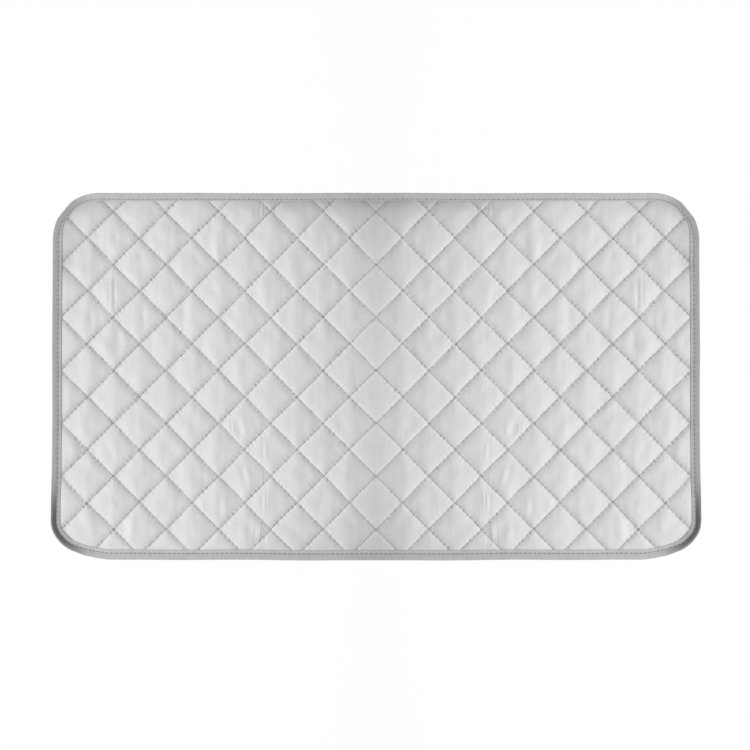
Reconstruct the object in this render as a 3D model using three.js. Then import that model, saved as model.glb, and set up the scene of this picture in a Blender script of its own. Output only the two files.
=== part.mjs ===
// A quilted ironing pad: a silver-coated face cloth, a sheet of wadding and a backing cloth, sewn
// together by zigzag seams that make a pattern of diamonds, and bound round the edge with a folded tape.
// Millimetres, +Z up. The origin lies on the table under the middle of the pad, with +X along its
// length and +Y towards its far long edge. The pad lies flat, face up.
import * as THREE from "three";

// Outline of the pad
const PAD_LENGTH = 850;
const PAD_WIDTH = 482;
const FAR_CORNER_RADIUS = 63;
const NEAR_CORNER_ALONG = 76; // the near corners are slack: these are the half axes of an ellipse
const NEAR_CORNER_ACROSS = 58;
const CORNER_STEPS = 6;

// Quilting: each seam runs across the pad and turns to and fro between two neighbours, which it nearly
// meets at its turns, so that the seams together outline upright diamonds
const DIAMOND_LENGTH = 68.8;
const DIAMOND_WIDTH = 69.4;
const QUILT_SHIFT = 7.5; // the turn nearest the middle lies this far towards the far edge
const SHORTEST_SEAM = 12; // less thread than this, cut off at a corner, doesn't hold and falls out
const NEAREST_POINTS = 0.01; // corners that come closer than this are one

// Thicknesses of the materials
const CLOTH_THICKNESS = 0.25;
const WADDING_PRESSED = 0.8; // under a seam or the tape
const WADDING_CROWN = 6.2; // in the middle of a whole diamond
const TAPE_THICKNESS = 0.4; // two plies, because the tape's margins are turned in
const THREAD_DIAMETER = 0.25;
const LAY_GAP = 0.08; // between two things that lie on each other

// Heights above the table of the backing cloth's underside
const BACK_CROWN_HEIGHT = 0.15;
const BACK_SEAM_HEIGHT = 1.6;

// Binding tape: how far its legs reach in from the pad's edge, and where they are sewn down
const SIDE_LEG = 12.8;
const FAR_LEG = 10.5;
const NEAR_LEG = 13.5;
const SIDE_SEAM_INSET = 7.8;
const FAR_SEAM_INSET = 8.6;
const NEAR_SEAM_INSET = 8.7;
const FOLD_DEPTH = 1.3; // how far in the rounded fold goes before the legs run flat
const FOLD_STEPS = 4;
const GROOVE_FLOOR = 0.5; // width of the line that the binding's stitches press into the tape
const GROOVE_SLOPE = 0.5; // width of each of its two sloping sides

const THREAD_SIDES = 4;
const BINDING_THREAD_SIDES = 6;

const clothMaterial = new THREE.MeshStandardMaterial({ color: 0xd2d2d1, roughness: 0.42, metalness: 0.35 });
const waddingMaterial = new THREE.MeshStandardMaterial({ color: 0xf1efe9, roughness: 0.95, metalness: 0 });
const backingMaterial = new THREE.MeshStandardMaterial({ color: 0xc9c9c8, roughness: 0.9, metalness: 0 });
const tapeMaterial = new THREE.MeshStandardMaterial({ color: 0xa6a6a6, roughness: 0.8, metalness: 0 });
const threadMaterial = new THREE.MeshStandardMaterial({ color: 0xa9a9a8, roughness: 0.7, metalness: 0 });

// Insets from the pad's edge, which differ between the two ends, the far edge and the near edge
const even = (inset) => ({ side: inset, far: inset, near: inset });
const moved = (inset, by) => ({ side: inset.side + by, far: inset.far + by, near: inset.near + by });
const legInset = { side: SIDE_LEG, far: FAR_LEG, near: NEAR_LEG };
const seamInset = { side: SIDE_SEAM_INSET, far: FAR_SEAM_INSET, near: NEAR_SEAM_INSET };
const rawInset = even(FOLD_DEPTH);

// A layer's surface has three heights: under the tape, at a quilting seam and at a diamond's crown
const raised = (surface, by) => ({
  rim: surface.rim + by,
  seam: surface.seam + by,
  crown: surface.crown + by,
});
const threadRoom = THREAD_DIAMETER + 2 * LAY_GAP;
const grooveDepth = threadRoom;
const backingLow = {
  rim: TAPE_THICKNESS + grooveDepth + threadRoom,
  seam: BACK_SEAM_HEIGHT,
  crown: BACK_CROWN_HEIGHT,
};
const backingHigh = raised(backingLow, CLOTH_THICKNESS);
const waddingLow = raised(backingHigh, LAY_GAP);
const waddingHigh = {
  rim: waddingLow.rim + WADDING_PRESSED,
  seam: waddingLow.seam + WADDING_PRESSED,
  crown: waddingLow.crown + WADDING_CROWN,
};
const faceLow = raised(waddingHigh, LAY_GAP);
const faceHigh = raised(faceLow, CLOTH_THICKNESS);
const needleThread = raised(faceHigh, threadRoom / 2);
const bobbinThread = raised(backingLow, -threadRoom / 2);
const tapeHeight = faceHigh.rim + threadRoom + grooveDepth + TAPE_THICKNESS;

// The pad's edge at an inset, counter-clockwise from the near end of the right side. Outlines at other
// insets have matching points.
function outline(inset) {
  const near = { along: NEAR_CORNER_ALONG, across: NEAR_CORNER_ACROSS, end: inset.near };
  const far = { along: FAR_CORNER_RADIUS, across: FAR_CORNER_RADIUS, end: inset.far };
  const corners = [
    { ...near, right: 1, up: -1 },
    { ...far, right: 1, up: 1 },
    { ...far, right: -1, up: 1 },
    { ...near, right: -1, up: -1 },
  ];
  return corners.flatMap(({ along, across, end, right, up }, quarter) =>
    Array.from({ length: CORNER_STEPS + 1 }, (_, step) => {
      const turn = ((quarter - 1 + step / CORNER_STEPS) * Math.PI) / 2;
      return new THREE.Vector2(
        right * (PAD_LENGTH / 2 - along) + (along - inset.side) * Math.cos(turn),
        up * (PAD_WIDTH / 2 - across) + (across - end) * Math.sin(turn),
      );
    }),
  );
}

const tapeWindow = outline(legInset); // what the tape leaves open
const rawEdge = outline(rawInset); // where the three layers are cut off

const edgesOf = (polygon) => polygon.map((from, i) => [from, polygon[(i + 1) % polygon.length]]);

// How far a point lies to the left of an edge
function sideOf([from, to], point) {
  const along = to.clone().sub(from).normalize();
  return along.cross(point.clone().sub(from));
}

// The part of a convex polygon that lies inside another, both counter-clockwise
function clipped(polygon, frame) {
  return edgesOf(frame).reduce(
    (kept, edge) =>
      edgesOf(kept).flatMap(([from, to]) => {
        const a = sideOf(edge, from);
        const b = sideOf(edge, to);
        const cut = a * b < 0 ? [from.clone().lerp(to, a / (a - b))] : [];
        return a >= 0 ? [from, ...cut] : cut;
      }),
    polygon,
  );
}

// Place of a turn of the seams: those where the column and the row are both even or both odd are turns,
// and the others are the middles of diamonds
const placeAt = (column, row) =>
  new THREE.Vector2((column * DIAMOND_LENGTH) / 2, QUILT_SHIFT + (row * DIAMOND_WIDTH) / 2);
const lastColumn = Math.ceil(PAD_LENGTH / DIAMOND_LENGTH) + 1;
const lastRow = Math.ceil((PAD_WIDTH + QUILT_SHIFT) / DIAMOND_WIDTH) + 1;
const counted = (from, to) => Array.from({ length: to - from + 1 }, (_, i) => from + i);

// The quilt as a flat net of triangles. Each diamond, or what the tape leaves of it, is a fan round its
// own crown, and a flange runs on under the tape to the raw edge.
function quiltNet() {
  const windowEdges = edgesOf(tapeWindow);
  const rawEdges = edgesOf(rawEdge);
  const vertices = [];
  const triangles = [];

  // The number of the window's edge that a point lies on plus the share of that edge, or null inside it
  function placeOnWindow(point) {
    const number = windowEdges.findIndex((edge) => Math.abs(sideOf(edge, point)) < NEAREST_POINTS);
    if (number < 0) return null;
    const [from, to] = windowEdges[number];
    return number + point.distanceTo(from) / to.distanceTo(from);
  }
  function vertexAt(point) {
    const found = vertices.findIndex((other) => other.point.distanceTo(point) < NEAREST_POINTS);
    if (found >= 0) return found;
    const place = placeOnWindow(point);
    return vertices.push({ point, place, kind: place === null ? "seam" : "rim" }) - 1;
  }

  const diamondArea = (DIAMOND_LENGTH * DIAMOND_WIDTH) / 2;
  const wholeReach = diamondArea / Math.hypot(DIAMOND_LENGTH, DIAMOND_WIDTH);
  for (const column of counted(-lastColumn, lastColumn))
    for (const row of counted(-lastRow, lastRow)) {
      if ((column + row) % 2 === 0) continue;
      const diamond = [
        placeAt(column + 1, row),
        placeAt(column, row + 1),
        placeAt(column - 1, row),
        placeAt(column, row - 1),
      ];
      const ring = [...new Set(clipped(diamond, tapeWindow).map(vertexAt))];
      if (ring.length < 3) continue;
      const corners = ring.map((id) => vertices[id].point);
      const point = new THREE.Vector2();
      corners.forEach((corner) => point.addScaledVector(corner, 1 / corners.length));
      const reach = Math.min(...edgesOf(corners).map((edge) => sideOf(edge, point)));
      const fullness = Math.min(1, reach / wholeReach);
      const crown = vertices.push({ point, kind: "crown", ring, fullness }) - 1;
      edgesOf(ring).forEach(([from, to]) => triangles.push([from, to, crown]));
    }

  const rim = vertices.flatMap((vertex, id) => (vertex.kind === "rim" ? [id] : []));
  rim.sort((a, b) => vertices[a].place - vertices[b].place);
  const border = rim.map((id) => {
    const number = Math.floor(vertices[id].place);
    const [from, to] = rawEdges[number];
    const point = from.clone().lerp(to, vertices[id].place - number);
    return vertices.push({ point, kind: "rim" }) - 1;
  });
  rim.forEach((inner, i) => {
    const next = (i + 1) % rim.length;
    triangles.push([inner, border[i], border[next]], [inner, border[next], rim[next]]);
  });
  return { vertices, triangles, border };
}

const net = quiltNet();

// Height of a surface at a vertex of the net. A crown stands on the mean of the vertices round it.
function heightAt(surface, vertex) {
  if (vertex.kind !== "crown") return surface[vertex.kind];
  const base = vertex.ring.reduce((sum, id) => sum + surface[net.vertices[id].kind], 0) / vertex.ring.length;
  return base + (surface.crown - surface.seam) * vertex.fullness;
}

function solidFrom(points, triangles) {
  const geometry = new THREE.BufferGeometry().setFromPoints(points);
  geometry.setIndex(triangles.flat());
  geometry.computeVertexNormals();
  return geometry;
}

// A quilted layer between two surfaces
function quiltedLayer(low, high) {
  const count = net.vertices.length;
  const at = (surface) =>
    net.vertices.map((vertex) => new THREE.Vector3(vertex.point.x, vertex.point.y, heightAt(surface, vertex)));
  const top = net.triangles.map((corners) => corners.map((id) => id + count));
  const bottom = net.triangles.map(([a, b, c]) => [a, c, b]);
  const wall = edgesOf(net.border).flatMap(([from, to]) => [
    [from, to, to + count],
    [from, to + count, from + count],
  ]);
  return solidFrom([...at(low), ...at(high)], [...top, ...bottom, ...wall]);
}

// A solid through rings of points, each clockwise to someone who follows the rings
function throughRings(rings, closed) {
  const sides = rings[0].length;
  const turns = closed ? rings.length : rings.length - 1;
  const triangles = counted(0, turns - 1).flatMap((turn) =>
    counted(0, sides - 1).flatMap((side) => {
      const here = turn * sides;
      const next = ((turn + 1) % rings.length) * sides;
      const beside = (side + 1) % sides;
      return [
        [here + side, next + beside, next + side],
        [here + side, here + beside, next + beside],
      ];
    }),
  );
  if (!closed) {
    const end = (rings.length - 1) * sides;
    counted(1, sides - 2).forEach((side) =>
      triangles.push([0, side + 1, side], [end, end + side, end + side + 1]),
    );
  }
  return solidFrom(rings.flat(), triangles);
}

// Points of a thread's surface, clockwise to someone who follows it: how far right of its line, and up
const threadSection = (sides) =>
  counted(1, sides).map((side) => {
    const turn = ((2 * side - 1) * Math.PI) / sides;
    const radius = THREAD_DIAMETER / 2 / Math.cos(Math.PI / sides);
    return { right: radius * Math.sin(turn), up: radius * Math.cos(turn) };
  });

// Where the line from one point to another enters and leaves a convex outline, as shares of its length
function crossingShares(from, to, frame) {
  let enter = 0;
  let leave = 1;
  for (const edge of edgesOf(frame)) {
    const a = sideOf(edge, from);
    const b = sideOf(edge, to);
    if (a < 0 && b < 0) return [];
    if (a < 0) enter = Math.max(enter, a / (a - b));
    if (b < 0) leave = Math.min(leave, a / (a - b));
  }
  return enter < leave ? [enter, leave] : [];
}

// The seams from left to right, each a list of points from the near edge to the far one. A point is
// marked with what it lies on: the flange under the tape, or the valley between two diamonds. A seam that
// a corner cuts in two gives two lists, and one that lies wholly under the tape is left out.
function quiltingSeams() {
  const halfMitre = Math.hypot(DIAMOND_LENGTH, DIAMOND_WIDTH) / DIAMOND_WIDTH;
  const turnBack = (THREAD_DIAMETER / 2) * halfMitre + LAY_GAP;
  return counted(-lastColumn, lastColumn - 1).flatMap((column) => {
    const turns = counted(-lastRow, lastRow).map((row) => {
      const onLeft = (column + row) % 2 === 0;
      const turn = placeAt(onLeft ? column : column + 1, row);
      turn.x += onLeft ? turnBack : -turnBack;
      return turn;
    });
    const runs = [];
    turns.slice(1).forEach((to, i) => {
      const from = turns[i];
      const inside = crossingShares(from, to, rawEdge);
      if (inside.length === 0) return;
      const shown = crossingShares(from, to, tapeWindow);
      const at = (share) => ({
        point: from.clone().lerp(to, share),
        kind: shown.includes(share) && share % 1 === 0 ? "seam" : "rim",
      });
      if (inside[0] > 0 || runs.length === 0) runs.push([at(inside[0])]);
      runs.at(-1).push(...[...new Set([...shown, inside[1]])].filter((share) => share > inside[0]).map(at));
    });
    const lengthOf = (run) => run[0].point.distanceTo(run.at(-1).point);
    return runs.filter((run) => run.some(({ kind }) => kind === "seam") && lengthOf(run) > SHORTEST_SEAM);
  });
}

// Each ring of the thread stands across the turn of the seam, and is widened there to keep the thread's
// width
function threadAlong(seam, level) {
  const wayTo = (i) => seam[i + 1].point.clone().sub(seam[i].point).normalize();
  const rings = seam.map(({ point, kind }, i) => {
    const before = wayTo(Math.max(i - 1, 0));
    const after = wayTo(Math.min(i, seam.length - 2));
    const along = before.clone().add(after).normalize();
    const widening = 1 / along.dot(after);
    return threadSection(THREAD_SIDES).map(
      ({ right, up }) =>
        new THREE.Vector3(
          point.x + along.y * right * widening,
          point.y - along.x * right * widening,
          level[kind] + up,
        ),
    );
  });
  return throughRings(rings, false);
}

// A closed band round the pad. Each point of its section has its own inset and height.
function bandRound(section) {
  const loops = section.map(({ inset, height }) =>
    outline(inset).map((point) => new THREE.Vector3(point.x, point.y, height)),
  );
  const rings = loops[0].map((_, station) => loops.map((loop) => loop[station]));
  return throughRings(rings, true);
}

// The tape's skin at a depth below its outside: along the top leg to the fold, round the fold, and back
// along the bottom leg. Both legs are pressed in by their row of stitches.
function tapeSkin(depth) {
  const grooveEdge = GROOVE_FLOOR / 2 + GROOVE_SLOPE;
  const leg = (height, pressed) => [
    { inset: legInset, height },
    { inset: moved(seamInset, grooveEdge), height },
    { inset: moved(seamInset, GROOVE_FLOOR / 2), height: height + pressed },
    { inset: moved(seamInset, -GROOVE_FLOOR / 2), height: height + pressed },
    { inset: moved(seamInset, -grooveEdge), height },
  ];
  const fold = counted(0, FOLD_STEPS).map((step) => {
    const turn = (step / FOLD_STEPS) * Math.PI;
    return {
      inset: even(FOLD_DEPTH - (FOLD_DEPTH - depth) * Math.sin(turn)),
      height: tapeHeight / 2 + (tapeHeight / 2 - depth) * Math.cos(turn),
    };
  });
  return [...leg(tapeHeight - depth, -grooveDepth), ...fold, ...leg(depth, grooveDepth).reverse()];
}

const bindingThread = (height) =>
  threadSection(BINDING_THREAD_SIDES).map(({ right, up }) => ({
    inset: moved(seamInset, -right),
    height: height + up,
  }));

const pad = new THREE.Group();

function addPiece(name, geometry, material) {
  const mesh = new THREE.Mesh(geometry, material);
  mesh.name = name;
  pad.add(mesh);
}

addPiece("face_cloth", quiltedLayer(faceLow, faceHigh), clothMaterial);
addPiece("wadding", quiltedLayer(waddingLow, waddingHigh), waddingMaterial);
addPiece("backing_cloth", quiltedLayer(backingLow, backingHigh), backingMaterial);

const tapeSection = [...tapeSkin(0), ...tapeSkin(TAPE_THICKNESS).reverse()];
addPiece("binding_tape", bandRound(tapeSection), tapeMaterial);
addPiece("binding_needle_thread", bandRound(bindingThread(tapeHeight - threadRoom / 2)), threadMaterial);
addPiece("binding_bobbin_thread", bandRound(bindingThread(threadRoom / 2)), threadMaterial);

quiltingSeams().forEach((seam, i) => {
  const number = String(i + 1).padStart(2, "0");
  addPiece(`quilting_needle_thread_${number}`, threadAlong(seam, needleThread), threadMaterial);
  addPiece(`quilting_bobbin_thread_${number}`, threadAlong(seam, bobbinThread), threadMaterial);
});

export default pad;
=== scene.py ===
import math

import bpy
import numpy as np
from bpy.props import FloatProperty, FloatVectorProperty, IntProperty, PointerProperty
from bpy.types import Operator, Panel, PropertyGroup
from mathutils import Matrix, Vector


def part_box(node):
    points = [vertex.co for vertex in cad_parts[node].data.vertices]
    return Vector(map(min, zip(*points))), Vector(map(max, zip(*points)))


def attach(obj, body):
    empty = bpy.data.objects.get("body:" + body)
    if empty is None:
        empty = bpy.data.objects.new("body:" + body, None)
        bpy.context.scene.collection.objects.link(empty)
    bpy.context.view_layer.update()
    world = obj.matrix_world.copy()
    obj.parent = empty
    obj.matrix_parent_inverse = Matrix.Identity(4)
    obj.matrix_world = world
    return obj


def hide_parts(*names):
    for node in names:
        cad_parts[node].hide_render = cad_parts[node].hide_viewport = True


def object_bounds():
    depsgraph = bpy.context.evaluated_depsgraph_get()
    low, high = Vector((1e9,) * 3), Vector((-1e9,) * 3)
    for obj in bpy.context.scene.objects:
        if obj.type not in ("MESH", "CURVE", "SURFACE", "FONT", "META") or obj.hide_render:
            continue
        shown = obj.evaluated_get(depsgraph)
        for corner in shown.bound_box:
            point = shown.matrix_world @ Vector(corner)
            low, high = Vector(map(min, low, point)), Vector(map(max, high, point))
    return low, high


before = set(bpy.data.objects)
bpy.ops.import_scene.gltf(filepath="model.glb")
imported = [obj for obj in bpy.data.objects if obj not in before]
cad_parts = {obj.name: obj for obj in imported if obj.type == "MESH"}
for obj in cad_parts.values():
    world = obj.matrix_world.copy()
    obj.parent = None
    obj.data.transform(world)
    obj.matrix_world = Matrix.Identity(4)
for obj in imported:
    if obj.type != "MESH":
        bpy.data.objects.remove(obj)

bl_info = {
    "name": "Quilted ironing pad",
    "version": (1, 0, 0),
    "blender": (4, 5, 0),
    "location": "3D View > Sidebar > Ironing Pad",
    "description": "Sews the cloths, wadding, binding and threads of a quilted ironing pad",
    "category": "Object",
}

PAD_LOW, PAD_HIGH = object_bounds()
MM = 0.001
THREADS = 24
# whatever is uneven on the pad has a seed of its own, so that every run gives the same pad
SEEDS = {
    "along": 3, "across": 4, "puffs": 11, "tape": 21, "edge": 22, "pull": (31, 32), "dents": 41,
    "crossings": 500, "ridges": 1000,
}


def linear(code):
    """Turns an sRGB hex colour into the linear colour that the shaders work in."""
    shares = [int(code[i : i + 2], 16) / 255 for i in (0, 2, 4)]
    return [s / 12.92 if s <= 0.04045 else ((s + 0.055) / 1.055) ** 2.4 for s in shares]


def length(name, description, default):
    """One length that the user may change, in metres."""
    return FloatProperty(
        name=name, description=description, default=default, min=0, precision=5, unit="LENGTH"
    )


def colour(name, description, code):
    """One colour that the user may change."""
    return FloatVectorProperty(
        name=name, description=description, default=linear(code), min=0, max=1, subtype="COLOR"
    )


class QuiltSizes(PropertyGroup):
    """Sizes of the pad's outline and its quilting"""

    half_length: length("Half length", "Half the pad's long side", PAD_HIGH.x)
    half_width: length("Half width", "Half the pad's short side", PAD_HIGH.y)
    far_corner: length("Far corner", "Radius of the two far corners", 0.063)
    near_corner_along: length("Near corner along", "Near corners' reach along the pad", 0.076)
    near_corner_across: length("Near corner across", "Near corners' reach across the pad", 0.058)
    diamond_length: length("Diamond length", "A diamond's diagonal along the pad", 0.0688)
    diamond_width: length("Diamond width", "A diamond's diagonal across the pad", 0.0694)
    shift: length("Shift", "How far the pattern's middle lies beyond the pad's middle", 0.0075)
    stitches: IntProperty(name="Stitches", description="Stitches on a diamond's side", default=7, min=2)
    puff: length("Puff", "How far the cloth comes up beside a seam", 0.0019)
    puff_edge: length("Puff edge", "Distance from a seam in which the puff comes up", 0.0050)
    crown: length("Crown", "How much higher a diamond's middle swells", 0.0010)
    crest: length("Crest", "How much higher the crest across a diamond rises near the short sides", 0.0016)
    cloth: length("Cloth", "Thickness of the face and backing cloths", 0.00025)
    raw_edge: length("Raw edge", "How far inside the pad's edge the layers are cut", 0.0022)
    rim_height: length("Rim height", "Height of the face cloth under the tape's seam", 0.00270)
    seam_height: length("Seam height", "Height of the face cloth along the quilting", 0.00306)
    back_rim: length("Back rim", "Height of the backing cloth's underside in the tape", 0.00118)
    back_seam: length("Back seam", "Height of the backing cloth's underside at the quilting", 0.00160)
    back_rest: length("Back rest", "Height at which the backing cloth's puffs lie", 0.00012)


class BindingSizes(PropertyGroup):
    """Sizes of the tape round the edge and of its seam"""

    side_leg: length("Side leg", "Width of the tape that shows along the short sides", 0.0128)
    far_leg: length("Far leg", "Width of the tape that shows along the far side", 0.0105)
    near_leg: length("Near leg", "Width of the tape that shows along the near side", 0.0135)
    side_seam: length("Side seam", "From the edge to the seam on the short sides", 0.0078)
    far_seam: length("Far seam", "From the edge to the seam on the far side", 0.0086)
    near_seam: length("Near seam", "From the edge to the seam on the near side", 0.0087)
    stitch: length("Stitch", "Length of the binding's stitches", 0.0063)
    tape: length("Tape", "Thickness of the tape", 0.0004)
    thread: length("Thread", "Thickness of the sewing thread", 0.00036)


class PadColours(PropertyGroup):
    """Colours of the pad's materials"""

    face: colour("Face", "Silver coating on the face cloth", "D5D5D5")
    backing: colour("Backing", "Cotton of the backing cloth", "D3D3D1")
    wadding: colour("Wadding", "Needled fibre between the cloths", "E4E3E0")
    tape: colour("Tape", "Polyester tape of the binding", "B7B7B7")
    thread: colour("Thread", "Polyester sewing thread", "C2C2C2")


# Small tools for the numbers


def smooth(share):
    """Goes softly from 0 to 1 as share does, and stays there."""
    share = np.clip(share, 0, 1)
    return share * share * (3 - 2 * share)


def rising(value, start, width):
    """Goes softly from 0 at the start to 1 one width further on."""
    return smooth((value - start) / width)


def falling(value, end, width):
    """Goes softly from 1 to 0 over one width, and reaches 0 at the end."""
    return smooth((end - value) / width)


def hump(value, middle, width):
    """A rounded hump: 1 at its middle, and almost 0 two widths away."""
    return np.exp(-(((value - middle) / width) ** 2))


def dome(value, middle, half, power=2):
    """A dome: 1 at its middle and 0 from half its width on. A higher power makes it flatter on top."""
    return np.clip(1 - ((value - middle) / half) ** power, 0, None)


def uneven(x, y, size, seed):
    """Seeded unevenness of about 1, alike on both halves of the pad, in hollows of about the given size."""
    dice = np.random.default_rng(seed)
    waves = 14
    total = np.zeros_like(x)
    for _ in range(waves):
        turn = dice.uniform(0, math.tau)
        wave = math.tau / (size * dice.uniform(0.7, 1.6))
        along = wave * math.cos(turn) * np.abs(x) + wave * math.sin(turn) * y
        total += np.sin(along + dice.uniform(0, math.tau))
    return total / math.sqrt(waves / 2)


# The pad's outline and its quilting


def rim(quilt, count):
    """Even places on the edge, anticlockwise from the near side's middle, the ways out and its length."""
    corner_steps = 160
    turns = np.linspace(0, math.pi / 2, corner_steps)
    near = np.stack([np.sin(turns) * quilt.near_corner_along, -np.cos(turns) * quilt.near_corner_across], 1)
    near += (quilt.half_length - quilt.near_corner_along, quilt.near_corner_across - quilt.half_width)
    far = np.stack([np.cos(turns), np.sin(turns)], 1) * quilt.far_corner
    far += (quilt.half_length - quilt.far_corner, quilt.half_width - quilt.far_corner)
    half = np.concatenate([[(0, -quilt.half_width)], near, far, [(0, quilt.half_width)]])
    loop = np.concatenate([half, half[-2::-1] * (-1, 1)])
    steps = np.concatenate([[0], np.cumsum(np.linalg.norm(np.diff(loop, axis=0), axis=1))])
    run = np.arange(count) * steps[-1] / count
    place = np.stack([np.interp(run, steps, loop[:, i]) for i in (0, 1)], 1)
    ahead = np.roll(place, -1, 0) - np.roll(place, 1, 0)
    out = np.stack([ahead[:, 1], -ahead[:, 0]], 1)
    out /= np.linalg.norm(out, axis=1)[:, None]
    return place, out, steps[-1]


def edge_length(quilt):
    """Length of the pad's edge."""
    return rim(quilt, 8)[2]


def inside(quilt, spots):
    """How far each spot lies inside the pad's edge, the nearest place on the edge and the way out there."""
    size = np.array((quilt.half_length, quilt.half_width))
    gap = size - np.abs(spots)
    nearer = gap.argmin(1)
    far = gap.min(1)
    way = np.zeros_like(spots)
    rows = np.arange(len(spots))
    way[rows, nearer] = np.where(spots[rows, nearer] < 0, -1, 1)
    # at the corners, each spot is held against many places on the edge
    spare, edge_places, batch = 0.002, 1100, 4000
    corner = np.maximum(quilt.near_corner_along, quilt.far_corner) + spare
    edge, out, _ = rim(quilt, edge_places)
    edge_bends = (np.abs(edge) > size - corner).all(1)
    edge, out = edge[edge_bends], out[edge_bends]
    bends = np.nonzero((np.abs(spots) > size - corner).all(1))[0]
    for start in range(0, len(bends), batch):
        mine = bends[start : start + batch]
        between = spots[mine, None, :] - edge[None, :, :]
        pick = (between**2).sum(2).argmin(1)
        way[mine] = out[pick]
        far[mine] = -(between[np.arange(len(pick)), pick] * out[pick]).sum(1)
    return far, spots + way * far[:, None], way


def facing(out):
    """The way that the edge faces, in degrees: -90 on the near side, 0 on a short one, 90 on the far one."""
    return np.degrees(np.arctan2(out[:, 1], np.abs(out[:, 0])))


# How far the edge bulges round the near corners, in tenths of a mm, by the way that it faces
NEAR_CORNER_TURNS = (-90, -84, -76, -70, -62, -54, -45, -33, -22, -12, 0)
NEAR_CORNER_BULGE = (0, -8, -8, 0, 8, 25, 33, 33, 27, 12, 0)


def edge_wave(edge, out):
    """How far the bound edge strays outwards, as the edge of a sewn pad does."""
    x, y = edge[:, 0], edge[:, 1]
    wave = 0.25 * MM * uneven(x, y, 0.14, SEEDS["edge"])
    # the short sides flare near the near corners and draw in towards the far ones
    flare = 1.5 * MM * hump(y, -0.172, 0.045)
    flare -= 0.9 * MM * rising(y, -0.02, 0.2)
    wave += np.abs(out[:, 0]) ** 4 * flare
    # the far side lies a little further in, and the near side's middle further out
    wave -= 1.0 * MM * np.clip(out[:, 1], 0, 1) ** 4
    wave += 0.9 * MM * np.clip(-out[:, 1], 0, 1) ** 4 * falling(np.abs(x), 0.24, 0.1)
    # the near corners bulge, and the far ones are flat
    turn = facing(out)
    near = np.interp(turn, NEAR_CORNER_TURNS, NEAR_CORNER_BULGE)
    wave += 0.1 * MM * near
    return wave - 1.25 * MM * dome(turn, 39.9, 11.5)


def by_side(way, side, far, near):
    """A size that goes from one side's value to the next one's round the corners."""
    across = np.where(way[:, 1] > 0, far, near)
    return side * way[:, 0] ** 2 + across * way[:, 1] ** 2


def pattern_place(quilt, p, q):
    """Where a point of the quilting pattern lies on the pad. The seams are p and q at whole numbers."""
    stray = 0.35
    x = (p - q) * quilt.diamond_length / 2
    y = (p + q) * quilt.diamond_width / 2 + quilt.shift
    calm = smooth(np.abs(x) / 0.03)
    x = x + np.sign(x) * calm * stray * MM * uneven(x, y, 0.11, SEEDS["along"])
    y = y + stray * MM * uneven(x, y, 0.12, SEEDS["across"])
    return x, y


def towards_ends(x):
    """Goes softly from 0 in the pad's middle to 1 at three quarters of the way to its short sides."""
    return rising(np.abs(x), 0.04, 0.26)


def middle_part(x):
    """Goes softly from 1 in the pad's middle to 0 just over half the way to its short sides."""
    return falling(np.abs(x), 0.24, 0.14)


def diamond_side(quilt):
    """Length of a diamond's side."""
    return math.hypot(quilt.diamond_length, quilt.diamond_width) / 2


def seam_gaps(quilt, p, q):
    """Each point's distances from the nearest seams of the two directions."""
    side = diamond_side(quilt)
    gap_p = np.abs(p - np.round(p)) * side
    gap_q = np.abs(q - np.round(q)) * side
    return gap_p, gap_q


def swelling(quilt, p, q, edge):
    """Share of the height that comes up beside the seams, most of it over the given distance."""
    steepness = 1.8
    gap_p, gap_q = seam_gaps(quilt, p, q)
    return (1 - np.exp(-((gap_p / edge) ** steepness))) * (1 - np.exp(-((gap_q / edge) ** steepness)))


def outward(p, q):
    """For the seams of either direction, whether the nearest one lies towards the pad's short side."""
    left = p < q
    return (p - np.floor(p) < 0.5) == left, (q - np.floor(q) > 0.5) == left


def leaning(quilt, p, q):
    """Share of the height: the cloth rises at once on the flanks towards the short sides, else later."""
    reach, at_once, later = 1.1, 1.1, 2.4
    total = np.ones_like(p)
    for gap, first in zip(seam_gaps(quilt, p, q), outward(p, q)):
        early = 1 - np.exp(-((gap / (reach * quilt.puff_edge)) ** at_once))
        late = 1 - np.exp(-((gap / quilt.puff_edge) ** later))
        total *= np.where(first, early, late)
    return total


def crown(p, q, fullness):
    """Share of the height that comes up slowly from the seams to the diamond's middle."""
    return np.abs(np.sin(math.pi * p) * np.sin(math.pi * q)) ** fullness


def stitch_pull(quilt, p, q):
    """Depth of the dents that the stitches pull into the cloth: deepest at the needle holes."""
    deepest, reach, steepness = 0.35, 2.4, 1.2
    gap_p, gap_q = seam_gaps(quilt, p, q)
    x, y = pattern_place(quilt, p, q)
    pull = np.zeros_like(p)
    for gap, run, seed in zip((gap_p, gap_q), (q, p), SEEDS["pull"]):
        hole = 0.5 + 0.5 * np.cos(math.tau * run * quilt.stitches)
        tight = np.clip(1 + 0.45 * uneven(x, y, 0.012, seed), 0.2, 1.4)
        sunk = deepest * MM * tight * hole * np.exp(-((gap / (reach * MM)) ** steepness))
        pull = np.maximum(pull, sunk)
    return pull


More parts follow.
